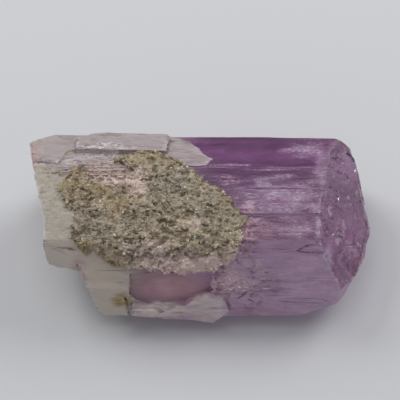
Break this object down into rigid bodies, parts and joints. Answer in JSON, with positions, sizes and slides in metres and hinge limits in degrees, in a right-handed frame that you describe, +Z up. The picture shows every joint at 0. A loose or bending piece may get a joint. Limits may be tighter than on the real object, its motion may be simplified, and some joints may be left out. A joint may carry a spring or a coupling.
{
  "type": "kunzite crystal",
  "caption": "Broken striated kunzite crystal lying on a flat side, with a crust of granular mica grown over its top; a display specimen.",
  "frame": {"origin": "centre of the bounding box's bottom, on the surface the crystal lies on", "axes": "+X along the crystal towards the violet end with its own end face, +Y away from the side seen lowest in the picture, +Z up"},
  "size_m": [0.0696, 0.0348, 0.0231],
  "materials": {
    "kunzite": "clear to milky violet, pale grey-green and pink at the broken end, glossy on fresh faces and satin on striated ones",
    "granular_mica": "rough granular grey-brown with dark pits and small bright flakes"
  },
  "bodies": {
    "root": {"kunzite_crystal": "kunzite", "mica_crust": "granular_mica"}
  },
  "joints": []
}
